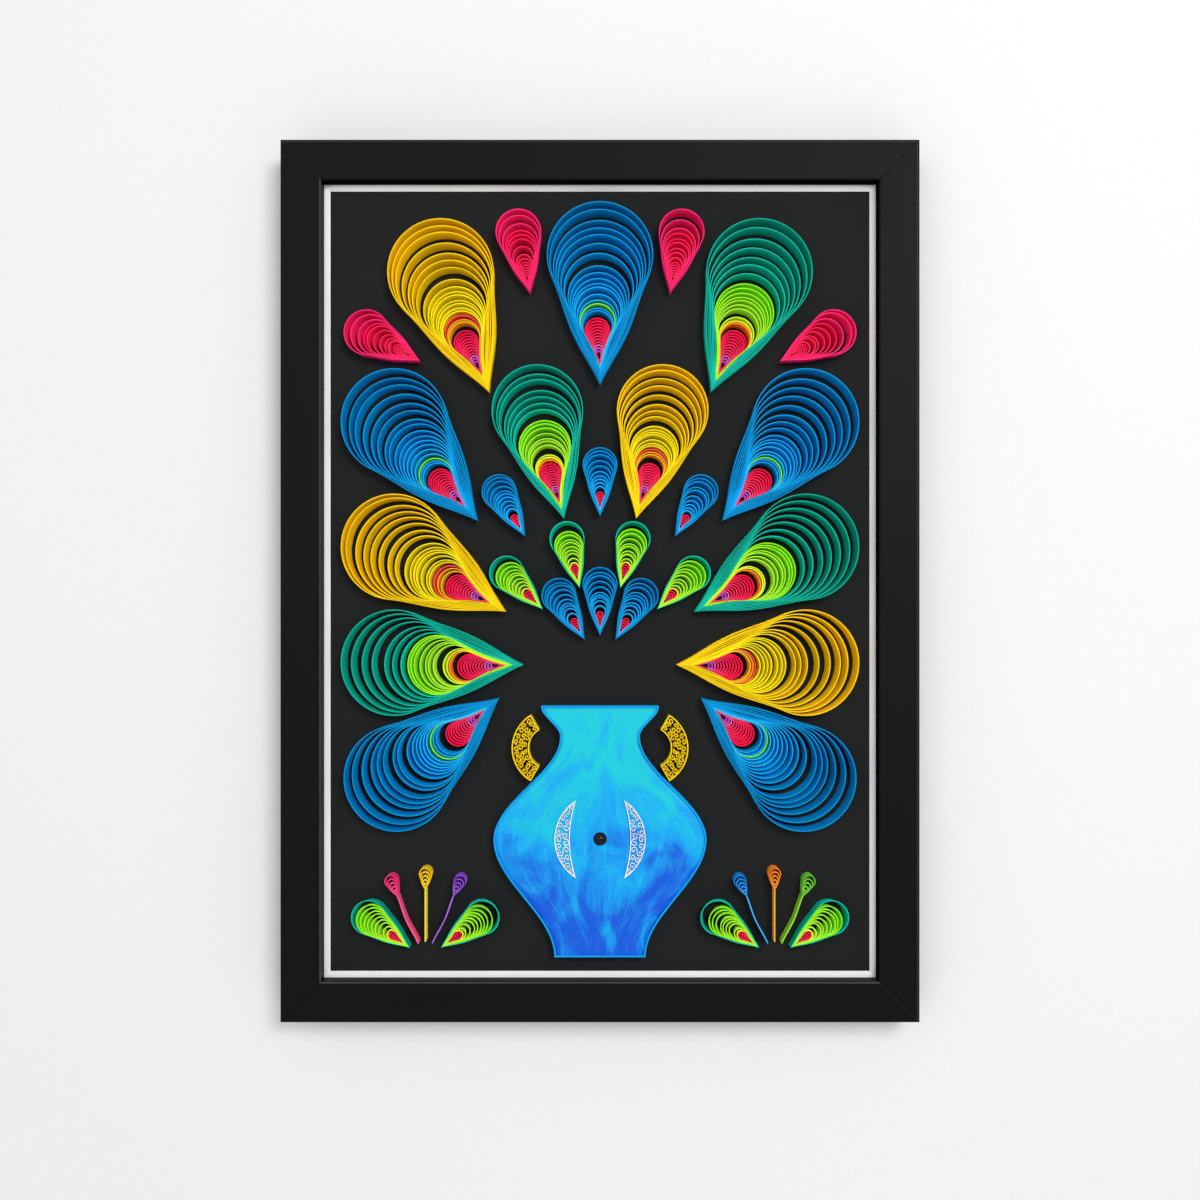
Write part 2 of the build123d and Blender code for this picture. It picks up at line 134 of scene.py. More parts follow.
def vase_half_width(share):
    """Half the vase's width at a share of its height: half cosine waves between the named widths."""
    leg = np.clip(np.searchsorted(VASE_STATIONS, share, side="right") - 1, 0, len(VASE_STATIONS) - 2)
    part = (share - VASE_STATIONS[leg]) / (VASE_STATIONS[leg + 1] - VASE_STATIONS[leg])
    return VASE_WIDTHS[leg] + (VASE_WIDTHS[leg + 1] - VASE_WIDTHS[leg]) * (1 - np.cos(np.pi * part)) / 2


def in_frame(points, y):
    """Points drawn in millimetres, across and up from the picture's middle, set at a depth in metres."""
    across, up, depth = np.broadcast_arrays(points[..., 0] * MM, points[..., 1] * MM + middle_z, y)
    return np.stack([across, depth, up], axis=-1)


def make_piece(name, corners, faces, material, node):
    """A mesh piece on the part's one body that stands for a CAD node: smooth on bends, crisp at edges."""
    mesh = bpy.data.meshes.new(name)
    mesh.from_pydata(corners.reshape(-1, 3).tolist(), [], faces)
    mesh.materials.append(material)
    mesh.shade_smooth()
    mesh.set_sharp_from_angle(angle=SHARP_FROM)
    piece = bpy.data.objects.new(name, mesh)
    bpy.context.scene.collection.objects.link(piece)
    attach(piece, "root")
    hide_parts(node)
    return piece


def tube_faces(rings, count, turning):
    """Quads between neighbouring rings of a closed profile, in step with the way the loop turns."""
    ring, n = np.meshgrid(np.arange(rings), np.arange(count), indexing="ij")
    ring_next, n_next = (ring + 1) % rings, (n + 1) % count
    quads = np.stack([ring * count + n, ring * count + n_next,
                      ring_next * count + n_next, ring_next * count + n], axis=-1).reshape(-1, 4)
    return quads[:, ::turning]


def for_each(faces, corners, copies):
    """The faces of one shape, repeated for copies of it that follow on, with so many corners each."""
    return (faces[None] + corners * np.arange(copies)[:, None, None]).reshape(-1, faces.shape[-1])


def capped_tube(rings, count, turning, copies=1):
    """Faces of tubes of rings, with one more face over the first ring and one over the last."""
    corners = rings * count
    sides = tube_faces(rings, count, turning)[:-count]
    ends = np.stack([np.arange(count)[::-turning], corners - count + np.arange(count)[::turning]])
    return [*for_each(sides, corners, copies).tolist(), *for_each(ends, corners, copies).tolist()]


# Hand-painted acrylic: blue at the foot, sky blue, then turquoise, blended wet in soft patches, half
# gloss, with fine brush ridges and a few dry light strokes along the vase's sides
acrylic, tree, shader, _ = start_material("brushed_acrylic")
along_strokes = add(tree, "UVMap", {}, uv_map="strokes").outputs[0]
combed = add(tree, "Mapping", {"Vector": along_strokes, "Scale": (1 / (1.3 * MM), 1 / (17 * MM), 1)})
bristles = add(tree, "TexNoise", {"Vector": combed.outputs[0], "Scale": 1.0, "Detail": 4.0,
                                  "Roughness": 0.6, "Distortion": 0.2}).outputs[0]
swept = add(tree, "Mapping", {"Vector": along_strokes, "Location": PATCHES_FROM,
                              "Scale": (1 / (21 * MM), 1 / (33 * MM), 1)})
patches = add(tree, "TexNoise", {"Vector": swept.outputs[0], "Scale": 1.0, "Detail": 5.0,
                                 "Roughness": 0.6, "Distortion": 1.0}).outputs[0]
height = add(tree, "SeparateXYZ", {"Vector": along_strokes}).outputs[1]
climb = add(tree, "MapRange", {0: height, 1: 0.0, 2: VASE_TALL * MM, 3: -0.42, 4: 0.66}).outputs[0]
where = add(tree, "Math", {0: patches, 1: 2.2, 2: climb}, operation="MULTIPLY_ADD").outputs[0]
ragged = add(tree, "Math", {0: bristles, 1: 0.3, 2: where}, operation="MULTIPLY_ADD").outputs[0]
soft = {"interpolation_type": "SMOOTHSTEP"}
to_sky = add(tree, "MapRange", {0: ragged, 1: 0.76, 2: 1.4}, **soft).outputs[0]
to_turquoise = add(tree, "MapRange", {0: ragged, 1: 1.2, 2: 1.9}, **soft).outputs[0]
blues = {0: to_sky, 6: linear("#0557D6"), 7: linear("#00A2EC")}
sky = add(tree, "Mix", blues, data_type="RGBA").outputs[2]
ground = add(tree, "Mix", {0: to_turquoise, 6: sky, 7: linear("#0CC6D6")}, data_type="RGBA").outputs[2]
streak = add(tree, "MapRange", {0: bristles, 1: 0.58, 2: 0.8, 3: 0.0, 4: 0.4}).outputs[0]
painted = add(tree, "Mix", {0: streak, 6: ground, 7: linear("#48D8EE")}, data_type="RGBA").outputs[2]
rough = add(tree, "MapRange", {0: bristles, 3: 0.36, 4: 0.58}).outputs[0]
bump = add(tree, "Bump", {"Strength": 0.3, "Distance": 0.2 * MM, "Height": bristles}).outputs[0]
join(tree, shader, {"Base Color": painted, "Roughness": rough, "Normal": bump, "Specular IOR Level": 0.22})

# Level rings from foot to mouth: each goes across the front, over its eased edges and back along the board
share = np.linspace(0.0, 1.0, PANEL_ROWS)[:, None]
across = np.linspace(-1.0, 1.0, PANEL_COLUMNS)[None, :]
half_width = vase_half_width(share) - VASE_STRIP
up = VASE_FOOT_UP + VASE_STRIP + (VASE_TALL - 2 * VASE_STRIP) * share + 0 * across
sheet = np.stack([across * half_width, up], axis=-1)
on_ease = np.clip((np.abs(across * half_width) - half_width + EASE_WIDE) / EASE_WIDE, 0, 1)
front = in_frame(sheet, panel_front + EASE_DEEP * MM * on_ease ** 2)
back = in_frame(sheet[:, ::-1], board_front)
rings = np.concatenate([front, back], axis=1)
faces = capped_tube(PANEL_ROWS, 2 * PANEL_COLUMNS, 1)
vase = make_piece("painted_vase", rings, faces, acrylic, "vase_panel")

# The stroke map is equally wide at every height, so strokes run along the vase's sides
strokes = np.stack([np.concatenate([across, across[:, ::-1]], axis=1) * STROKES_WIDE * MM + 0 * share,
                    np.concatenate([up, up], axis=1) * MM - VASE_FOOT_UP * MM], axis=-1).reshape(-1, 2)
corner_of = np.empty(len(vase.data.loops), dtype=np.int32)
vase.data.loops.foreach_get("vertex_index", corner_of)
stroke_map = vase.data.uv_layers.new(name="strokes")
stroke_map.data.foreach_set("uv", strokes[corner_of].astype(np.float32).ravel())


# Vase edging: one strip of blue paper that stands on its edge around the painted panel.
# It is glued to the panel's side and stands a little proud of the paint.
STRIP_TALL, EDGING_ROWS = 8.0, 161
strip_front = board_front - STRIP_TALL * MM


def inset(loop, width, turning):
    """Moves closed loops inward by a width: each corner slides along its mitre, which is the sum
    of its two edge normals divided by one plus their dot product."""
    edge = np.roll(loop, -1, axis=-2) - loop
    edge = edge / np.linalg.norm(edge, axis=-1, keepdims=True)
    normal = turning * np.stack([-edge[..., 1], edge[..., 0]], axis=-1)
    before = np.roll(normal, 1, axis=-2)
    mitre = (before + normal) / (1 + (before * normal).sum(axis=-1, keepdims=True))
    return loop + np.asarray(width)[..., None] * mitre


def standing_loops(loops, width, foot, edge, turning):
    """Closed strips on their edge: four rings each, outside low and high, inside high and low.
    Gives the corners, strip by strip, and the quads of all strips."""
    inner = inset(loops, width, turning)
    rings = np.stack([in_frame(loops, foot), in_frame(loops, edge),
                      in_frame(inner, edge), in_frame(inner, foot)], axis=1)
    strips, _, count, _ = rings.shape
    return rings, for_each(tube_faces(4, count, turning), 4 * count, strips)


def start_paper(name, fibre_mm, shine, gloss):
    """Dyed strip paper: each strip's colour is an attribute, clouded and flecked by its fibres. The fuzz
    of the fibres throws the dye's own colour back along the strip's sides."""
    material, tree, shader, place = start_material(name)
    strip = add(tree, "VertexColor", {}, layer_name="strip_colour").outputs[0]
    fibre = add(tree, "TexNoise", {"Vector": place, "Scale": 1 / (fibre_mm * MM), "Detail": 2.0}).outputs[0]
    cloud = add(tree, "TexNoise", {"Vector": place, "Scale": 1 / (9 * MM), "Detail": 1.0}).outputs[0]
    level = add(tree, "MapRange", {0: fibre, 1: 0.25, 2: 0.75, 3: 0.93, 4: 1.06}).outputs[0]
    drift = add(tree, "MapRange", {0: cloud, 1: 0.25, 2: 0.75, 3: 0.94, 4: 1.06}).outputs[0]
    both = add(tree, "Math", {0: level, 1: drift}, operation="MULTIPLY").outputs[0]
    flecked = {0: 1.0, 6: strip, 7: both}
    dyed = add(tree, "Mix", flecked, data_type="RGBA", blend_type="MULTIPLY").outputs[2]
    rough = add(tree, "MapRange", {0: fibre, 3: gloss, 4: gloss + 0.16}).outputs[0]
    bump = add(tree, "Bump", {"Strength": 0.3, "Distance": 0.06 * MM, "Height": fibre}).outputs[0]
    join(tree, shader, {"Base Color": dyed, "Roughness": rough, "Normal": bump, "Metallic": shine,
                        "Specular IOR Level": 0.06, "Sheen Weight": 0.8, "Sheen Roughness": 0.45,
                        "Sheen Tint": dyed})
    return material


def colour_strips(piece, colours):
    """Writes the attribute that strip paper reads: one colour for all corners, or one for each."""
    layer = piece.data.color_attributes.new("strip_colour", "FLOAT_COLOR", "POINT")
    of_corners = np.broadcast_to(colours, (len(piece.data.vertices), 4))
    layer.data.foreach_set("color", of_corners.astype(np.float32).ravel())


# Dyed quilling paper: matt and faintly clouded; its fibres are drawn coarser than life so that they show
quilling_paper = start_paper("dyed_quilling_paper", 0.8, 0.0, 0.55)
rise = np.linspace(0.0, 1.0, EDGING_ROWS)
right = np.stack([vase_half_width(rise), VASE_FOOT_UP + VASE_TALL * rise], axis=-1)
outline = np.concatenate([right, right[::-1] * (-1, 1)])[None]
corners, faces = standing_loops(outline, VASE_STRIP, board_front, strip_front, 1)
edging = make_piece("vase_edging_strip", corners, faces.tolist(), quilling_paper,
                    "vase_edging")
colour_strips(edging, linear("#0FA0E8"))


# Handles: gold filigree beside the neck, small curls of gilt strip inside a bent rim.
# Each curl is rolled on a needle, let loose, and glued on edge between the rim's two sides.
SIDES = (("left", -1), ("right", 1))
HANDLE_AT, HANDLE_RADIUS, HANDLE_SPREAD = np.array([26.5, -88.0]), 20.0, np.radians(60)
HANDLE_HOLLOW, HANDLE_CORNERS = 0.55, 49
GILT_RIM, GILT_CURL, CURL_DROP = 0.5, 0.36, 0.25
CURL_ROWS, CURL_SPREAD = ((0.66, 8), (0.775, 9), (0.89, 11)), 0.88
CURL_RADIUS, CURL_UNEVEN, CURL_STRAY = 1.5, (0.8, 1.15), 0.3
CURL_TURNS, CURL_LOSS, CURL_POINTS = 1.2, 0.8, 60
BENT_WITH = np.random.default_rng(11)


def arc(reach, half_angle, count):
    """Points on a circle's arc about the origin, from minus to plus the half angle."""
    angle = np.linspace(-half_angle, half_angle, count)
    return reach * np.stack([np.cos(angle), np.sin(angle)], axis=-1)


def curls(centres, radii, leads):
    """Loose spirals, one for each centre: the radius falls evenly to a fifth while the angle grows."""
    run = np.linspace(0.0, 1.0, CURL_POINTS)
    angle = leads[:, None] + 2 * np.pi * CURL_TURNS * run
    reach = radii[:, None] * (1 - CURL_LOSS * run)
    return centres[:, None] + np.stack([reach * np.cos(angle), reach * np.sin(angle)], axis=-1)


def standing_ribbons(paths, width, foot, edge):
    """Open strips on their edge: left low and high, right high and low, with both ends closed."""
    ahead = np.gradient(paths, axis=1)
    ahead = ahead / np.linalg.norm(ahead, axis=-1, keepdims=True)
    aside = width / 2 * np.stack([-ahead[..., 1], ahead[..., 0]], axis=-1)
    left, right = paths + aside, paths - aside
    rings = np.stack([in_frame(left, foot), in_frame(left, edge),
                      in_frame(right, edge), in_frame(right, foot)], axis=2)
    strips, count = paths.shape[:2]
    ends = np.array([[3, 2, 1, 0], np.arange(4) + 4 * (count - 1)])
    one = np.concatenate([tube_faces(count, 4, 1)[:-4], ends])
    return rings, for_each(one, 4 * count, strips)


def merge(*shapes):
    """Several sets of corners and quads as one: the quads of each count on from the corners before."""
    sizes = np.cumsum([0] + [corners.size // 3 for corners, _ in shapes])
    return (np.concatenate([corners.reshape(-1, 3) for corners, _ in shapes]),
            np.concatenate([faces + first for (_, faces), first in zip(shapes, sizes)]))


# Gilt-edged paper: gold foil on strip paper, so it shines warm and broken, with paper grain below
gilt_paper = start_paper("gilt_paper", 0.7, 0.15, 0.34)
rim = np.concatenate([arc(HANDLE_RADIUS, HANDLE_SPREAD, HANDLE_CORNERS),
                      arc(HANDLE_HOLLOW * HANDLE_RADIUS, HANDLE_SPREAD, HANDLE_CORNERS)[::-1]])
seats = np.concatenate([arc(part * HANDLE_RADIUS, CURL_SPREAD * HANDLE_SPREAD, count)
                        for part, count in CURL_ROWS])
reaches = CURL_RADIUS * BENT_WITH.uniform(*CURL_UNEVEN, len(seats))
leads = BENT_WITH.uniform(0, 2 * np.pi, len(seats))
seats = seats + BENT_WITH.uniform(-CURL_STRAY, CURL_STRAY, seats.shape)
spirals = curls(HANDLE_AT + seats, reaches, leads)
for name, side in SIDES:
    flip = np.array([side, 1])
    bent = standing_loops(((HANDLE_AT + rim) * flip)[None], GILT_RIM, board_front, strip_front, side)
    rolled = standing_ribbons(spirals * flip, GILT_CURL, board_front, strip_front + CURL_DROP * MM)
    corners, faces = merge(bent, rolled)
    handle = make_piece(f"gilt_handle_{name}", corners, faces.tolist(), gilt_paper,
                        f"gold_handle_{name}")
    colour_strips(handle, linear("#FFDC1C"))


# Crescents: white paper filigree on the vase's belly, curls inside a thin rim, to the left and right.
# They are rolled from narrow strip and glued to the dry paint.
CRESCENT_RADIUS, CRESCENT_WIDTH, CRESCENT_TALL, CRESCENT_SPREAD = 24.0, 8.0, 1.6, np.radians(58)
OUTER_CORNERS, INNER_CORNERS = 61, 32
WHITE_RIM, WHITE_CURL, LACE_DROP = 0.42, 0.29, 0.1
LACE_STEP, LACE_LEAD, LACE_HORNS = 3.7, 2.3, np.array([13.9, 16.6, 18.5])
belly = np.array([0.0, VASE_FOOT_UP + VASE_STATIONS[1] * VASE_TALL])
chord = CRESCENT_RADIUS * np.sin(CRESCENT_SPREAD)
depth = CRESCENT_RADIUS * (1 - np.cos(CRESCENT_SPREAD))
crescent_front = panel_front - CRESCENT_TALL * MM


def crescent_hollow(up):
    """How far out the crescent's inner side lies at a height: a parabola between its two horns."""
    return CRESCENT_RADIUS - depth + (depth - CRESCENT_WIDTH) * (1 - (up / chord) ** 2)


# White paper: bleached and uncoated, soft white with a faint fleck
white_paper = start_paper("white_quilling_paper", 0.7, 0.0, 0.6)
inner_up = np.linspace(chord, -chord, INNER_CORNERS + 2)[1:-1]
moon = np.concatenate([arc(CRESCENT_RADIUS, CRESCENT_SPREAD, OUTER_CORNERS),
                       np.stack([crescent_hollow(inner_up), inner_up], axis=-1)])

# Rows of curls: their heights, and their place and radius as shares of the room between the two sides
LACE_ROWS = ((LACE_STEP * np.arange(-3, 4), 0.74, 0.23),
             (LACE_STEP * (np.arange(-3, 3) + 0.5), 0.27, 0.23),
             (np.concatenate([LACE_HORNS, -LACE_HORNS]), 0.5, 0.36))
seat_up = np.concatenate([heights for heights, _, _ in LACE_ROWS])
part, size = np.concatenate([np.tile(shares, (len(heights), 1)) for heights, *shares in LACE_ROWS]).T
room = np.sqrt(CRESCENT_RADIUS ** 2 - seat_up ** 2) - crescent_hollow(seat_up)
seats = np.stack([crescent_hollow(seat_up) + part * room, seat_up], axis=-1)
spirals = curls(seats, room * size, np.arange(len(seats)) * LACE_LEAD)
for name, side in SIDES:
    flip = np.array([side, 1])
    bent = standing_loops((belly + moon * flip)[None], WHITE_RIM, panel_front, crescent_front, side)
    rolled = standing_ribbons(belly + spirals * flip, WHITE_CURL, panel_front,
                              crescent_front + LACE_DROP * MM)
    corners, faces = merge(bent, rolled)
    crescent = make_piece(f"white_curls_{name}", corners, faces.tolist(), white_paper,
                          f"white_crescent_{name}")
    colour_strips(crescent, linear("#F1F3F5"))


# Bead: a half bead of black glass, glued with its flat side to the middle of the belly.
# Moulded and fire-polished, so it is a clean dome.
BEAD_RADIUS, BEAD_SINK = 3.8, 1.3
DOME_ROWS, DOME_COLUMNS, DOME_TOP = 16, 48, 0.985

# Black glass: nearly no colour of its own, only sharp reflections and a faint blue cloud inside
glass, tree, shader, place = start_material("black_glass")
cloud = add(tree, "TexNoise", {"Vector": place, "Scale": 1 / (2.5 * MM), "Detail": 2.0}).outputs[0]
clouded = {0: cloud, 6: linear("#050506"), 7: linear("#0C0D10")}
deep = add(tree, "Mix", clouded, data_type="RGBA").outputs[2]
rough = add(tree, "MapRange", {0: cloud, 3: 0.04, 4: 0.1}).outputs[0]
bump = add(tree, "Bump", {"Strength": 0.04, "Distance": 0.05 * MM, "Height": cloud}).outputs[0]
join(tree, shader, {"Base Color": deep, "Roughness": rough, "Normal": bump, "Specular IOR Level": 0.2})
climb = np.linspace(np.arcsin(BEAD_SINK / BEAD_RADIUS), DOME_TOP * np.pi / 2, DOME_ROWS)[:, None]
around = np.linspace(0, 2 * np.pi, DOME_COLUMNS, endpoint=False)[None, :]
circle = BEAD_RADIUS * np.cos(climb)[..., None] * np.stack([np.cos(around), np.sin(around)], axis=-1)
dome = in_frame(belly + circle, panel_front - (BEAD_RADIUS * np.sin(climb) - BEAD_SINK) * MM)
make_piece("glass_bead", dome, capped_tube(DOME_ROWS, DOME_COLUMNS, 1), glass, "vase_bead")


# Plumes: large leaning teardrops, each one long strip rolled up, let loose, pinched at one end
# and glued on edge. Strips of other colours are joined on, so the turns change colour inward.
STAGES = (0, 1, 2)
CORE_TIP, CORE_REACH, CORE_LEAN, CORE_SIZE = 0.10, 0.29, 1.0, 0.24
HEART_TIP, HEART_REACH, HEART_LEAN, HEART_SIZE = 0.125, 0.155, 0.4, 0.03
FLANK_SHARE, FLANK_SWELL = 0.24, 0.022
SWELL_AT, SWELL_PARTS = (0, 0.6, 1, 2), (1.0, -0.5, -0.2, 0.0)
PAPER_THICK, PAPER_LEAST = 0.5, 0.04
ROOM_KNOWN, ROOM_FILLED = (0.12, 0.5), (0.97, 0.78)
SPLAY, SETTLE = 1.5, 0.25
ROLL_UNEVEN, DYE_UNEVEN = (0.6, 1.4), (0.92, 1.08)
ROLLED_WITH = np.random.default_rng(7)


def coil_turns(q, length, radius, lean, count):
    """Turns of a leaning teardrop, each a tip, two flanks and an arc: q is 0 at the outer turn, 1
    where the core begins and 2 at its heart. Tip, round end and lean change evenly within both stages,
    so the turns crowd at the tip and on one flank; outer flanks swell out, inner ones sag a little.
    Gives the loops and the room inside each: the fall of reach cos + shift sin + size + swell to the
    next turn."""
    tip = length * np.interp(q, STAGES, (0.0, CORE_TIP, HEART_TIP))[:, None]
    reach = np.interp(q, STAGES, (length - radius, CORE_REACH * length, HEART_REACH * length))[:, None]
    shift = lean * radius * np.interp(q, STAGES, (0.0, CORE_LEAN, HEART_LEAN))[:, None]
    size = radius * np.interp(q, STAGES, (1.0, CORE_SIZE, HEART_SIZE))[:, None]
    heading = np.arctan2(shift, reach - tip)
    flank = np.arcsin(size / np.hypot(shift, reach - tip))
    run = np.arange(count) / count
    on_arc = np.clip((run - FLANK_SHARE) / (1 - 2 * FLANK_SHARE), 0, 1)
    angle = heading + (-1 if lean < 0 else 1) * (np.pi + 2 * flank) * (on_arc - 0.5)
    along = np.clip(np.minimum(run, 1 - run) / FLANK_SHARE, 0, 1)
    swell = FLANK_SWELL * length * np.interp(q, SWELL_AT, SWELL_PARTS)[:, None]
    swell = swell * np.sin(np.pi * along) ** 2
    s = tip + (reach + size * np.cos(angle) - tip) * along + swell * np.cos(angle)
    t = (shift + size * np.sin(angle)) * along + swell * np.sin(angle)
    inner = np.minimum(np.arange(len(q)) + 1, len(q) - 1)
    room = ((reach - reach[inner]) * np.cos(angle) + (shift - shift[inner]) * np.sin(angle)
            + size - size[inner] + swell - swell[inner])
    room[-1] = room[-2]
    return np.stack([s, t], axis=-1), room


def pointed(loops, tip, ahead):
    """Loops drawn along an axis from the origin, set at a tip with that axis along a direction."""
    return tip + loops @ np.array([ahead, [-ahead[1], ahead[0]]])


def dye(turns, *hues):
    """The colour of each turn of a strip, from its first hue to its last; a gap has no hue and is clear."""
    return np.linspace(linear(hues[0]), linear(hues[-1]), turns) if hues else np.zeros((turns, 4))


def quilled_drop(name, node, at, aim, length, radius, lean, recipe, core, count):
    """A rolled drop from its recipe, outside inward: number of turns, room for each, first and last
    colour, or no colours for a gap. The core's turns share its room evenly. A strip is as thick as
    its paper, or as the room that its turn leaves it. Glue holds only its foot, so its free edge splays:
    the foot is the same loop, drawn in towards the drop's tip."""
    steps = np.concatenate([np.full(turns, step) for turns, step, *_ in recipe])
    steps = steps * ROLLED_WITH.uniform(*ROLL_UNEVEN, len(steps))
    heart = sum(turns for turns, *_ in core)
    q = np.concatenate([[0.0], np.cumsum(steps)[:-1] / steps.sum(), 1 + np.arange(heart) / heart])
    hues = np.concatenate([dye(turns, *hue) for turns, _, *hue in recipe]
                          + [dye(turns, *hue) for turns, *hue in core])
    paper = hues[:, 3] > 0
    loops, room = coil_turns(q[paper], length, radius, lean, count)
    facing = np.arctan2(at[1] - aim[1], at[0] - aim[0])
    ahead = np.array([np.cos(facing), np.sin(facing)])
    tip = at - (length - radius) * ahead
    settle = ROLLED_WITH.uniform(0.0, SETTLE, (len(loops), 1)) * MM
    width = np.clip(np.interp(room, ROOM_KNOWN, ROOM_FILLED) * room, PAPER_LEAST, PAPER_THICK)
    corners, faces = standing_loops(pointed(loops, tip, ahead), width, board_front,
                                    strip_front + settle, -1 if lean < 0 else 1)
    pinch, feet = in_frame(tip, board_front), corners[:, ::3]
    corners[:, ::3] = pinch + (feet - pinch) * (1 - SPLAY / length)
    piece = make_piece(name, corners, faces.tolist(), quilling_paper, node)
    dyed = hues[paper]
    dyed[:, :3] *= ROLLED_WITH.uniform(*DYE_UNEVEN, (len(loops), 1))
    colour_strips(piece, np.repeat(dyed, 4 * count, axis=0))


PLUME_LENGTH, PLUME_RADIUS, PLUME_LEAN, PLUME_CORNERS = 96.0, 28.0, 0.05, 120
RED_CORE = ((9, "#FF1850", "#FF386A"), (3, "#E468C8", "#C850B4"))
TEAL = ((7, 4.6, "#0CAC94", "#12C0A6"), (7, 2.2, "#92F81E", "#BCF83C"), (1, 2.8),
        (2, 1.6, "#D8FF20", "#FFFF34"), (1, 1.5, "#FF9A20"), (1, 2.2))
BLUE = ((8, 4.0, "#048CCE", "#069ADE"), (6, 2.2, "#08A2EC", "#18B6F6"), (1, 1.5, "#7CEC48"),
        (2, 1.5, "#0AA8F4"), (1, 2.6))
GOLD = ((8, 4.0, "#FFD010", "#FFDA10"), (7, 2.0, "#FFE808", "#FFF01C"), (1, 1.5, "#FF5050"),
        (2, 1.4, "#FFA818", "#FFC020"), (1, 2.4))

# Pairs of plumes: the round end's place on the right, where the tip points, and the left and right paper
FAN, LOW_FAN = np.array([0.0, -45.0]), np.array([0.0, -20.0])
PLUMES = (
    ("low", 1, (107.0, -104.0), LOW_FAN, BLUE, BLUE),
    ("side", 2, (108.5, -43.0), FAN, TEAL, GOLD),
    ("middle", 3, (108.5, 18.0), FAN, GOLD, TEAL),
    ("upper", 4, (108.5, 84.0), FAN, BLUE, BLUE),
    ("high", 5, (84.0, 163.0), FAN, GOLD, TEAL),
)
CROWN_AT, INNER_AT, INNER_PART = np.array([0.0, 172.0]), np.array([33.0, 90.0]), 0.86
for word, number, at, aim, *papers in PLUMES:
    for (name, side), recipe in zip(SIDES, papers):
        quilled_drop(f"{word}_plume_{name}", f"plume_{name}_{number}",
                     np.array([side * at[0], at[1]]), aim, PLUME_LENGTH, PLUME_RADIUS,
                     -side * PLUME_LEAN, recipe, RED_CORE, PLUME_CORNERS)
quilled_drop("crown_plume", "plume_top", CROWN_AT, FAN, PLUME_LENGTH, PLUME_RADIUS,
             PLUME_LEAN, BLUE, RED_CORE, PLUME_CORNERS)
for (name, side), recipe in zip(SIDES, (TEAL, GOLD)):
    quilled_drop(f"inner_plume_{name}", f"plume_inner_{name}", INNER_AT * (side, 1), FAN,
                 INNER_PART * PLUME_LENGTH, INNER_PART * PLUME_RADIUS,
                 -side * PLUME_LEAN, recipe, RED_CORE, PLUME_CORNERS)


# Pink drops: middle-sized teardrops between the plumes, rolled from one pink strip with a red end.
# They are pinched and glued on edge as the plumes are, but they don't lean.
PINK_LENGTH, PINK_RADIUS, PINK_CORNERS = 44.0, 12.0, 96
PINK = ((3, 2.3, "#FF2874", "#FF2C74"), (6, 1.7, "#FF1E5C", "#FF2C62"))
PINK_CORE = ((6, "#FF1E58", "#FF3868"),)
PINK_DROPS = (("high", 1, (43.0, 184.0), FAN), ("side", 2, (123.0, 131.0), np.array([0.0, 65.0])))
for name, side in SIDES:
    for word, number, at, aim in PINK_DROPS:
        quilled_drop(f"{word}_pink_drop_{name}", f"pink_drop_{name}_{number}",
                     np.array([side * at[0], at[1]]), aim, PINK_LENGTH, PINK_RADIUS,
                     0.0, PINK, PINK_CORE, PINK_CORNERS)


# Small drops: staggered rows of blue and lime teardrops above the mouth, each with a red core,
# and two lime leaves on each sprig beside the vase's foot.
SMALL_LENGTH, SMALL_RADIUS, SMALL_CORNERS = 36.0, 9.2, 80
SMALL_CORE = ((5, "#FF1E52", "#FF3C6A"),)
SMALL_BLUE = ((5, 1.6, "#048CCE", "#069ADE"), (5, 1.4, "#0AA2EC", "#1CB6F6"), (1, 1.0))
SMALL_LIME = ((1, 2.6, "#0CBCA2"), (8, 1.4, "#94F81E", "#BCF83C"), (1, 1.2, "#FFFF40"))


def out_from(point, bearing, reach):
    """The place at a distance from a point, along a bearing in degrees."""
    return point + reach * np.array([np.cos(np.radians(bearing)), np.sin(np.radians(bearing))])


# Rows: colour, recipe, first number, distance from the fan's point in drop lengths, and bearings
SMALL_ROWS = (
    ("blue", SMALL_BLUE, 1, 1.2, (60, 90, 120)),
    ("lime", SMALL_LIME, 1, 1.93, (45, 75.5, 104.5, 135)),
    ("blue", SMALL_BLUE, 4, 2.95, (60, 90, 120)),
)
for colour, recipe, first, reach, bearings in SMALL_ROWS:
    for number, bearing in enumerate(bearings, first):
        quilled_drop(f"small_{colour}_drop_{number}", f"{colour}_drop_{number}",
                     out_from(FAN, bearing, reach * SMALL_LENGTH), FAN, SMALL_LENGTH, SMALL_RADIUS,
                     0.0, recipe, SMALL_CORE, SMALL_CORNERS)
SPRIG_ROOTS = np.array([[-92.0, -199.0], [92.0, -199.0]])
LEAF_BEARINGS, LEAF_REACH, FIRST_LEAF = (36, 144), 37.0, 5
LEAVES = [(root, bearing) for root in SPRIG_ROOTS for bearing in LEAF_BEARINGS]
for number, (root, bearing) in enumerate(LEAVES, FIRST_LEAF):
    quilled_drop(f"leaf_drop_{number}", f"lime_drop_{number}",
                 out_from(root, bearing, LEAF_REACH), root, SMALL_LENGTH, SMALL_RADIUS,
                 0.0, SMALL_LIME, SMALL_CORE, SMALL_CORNERS)


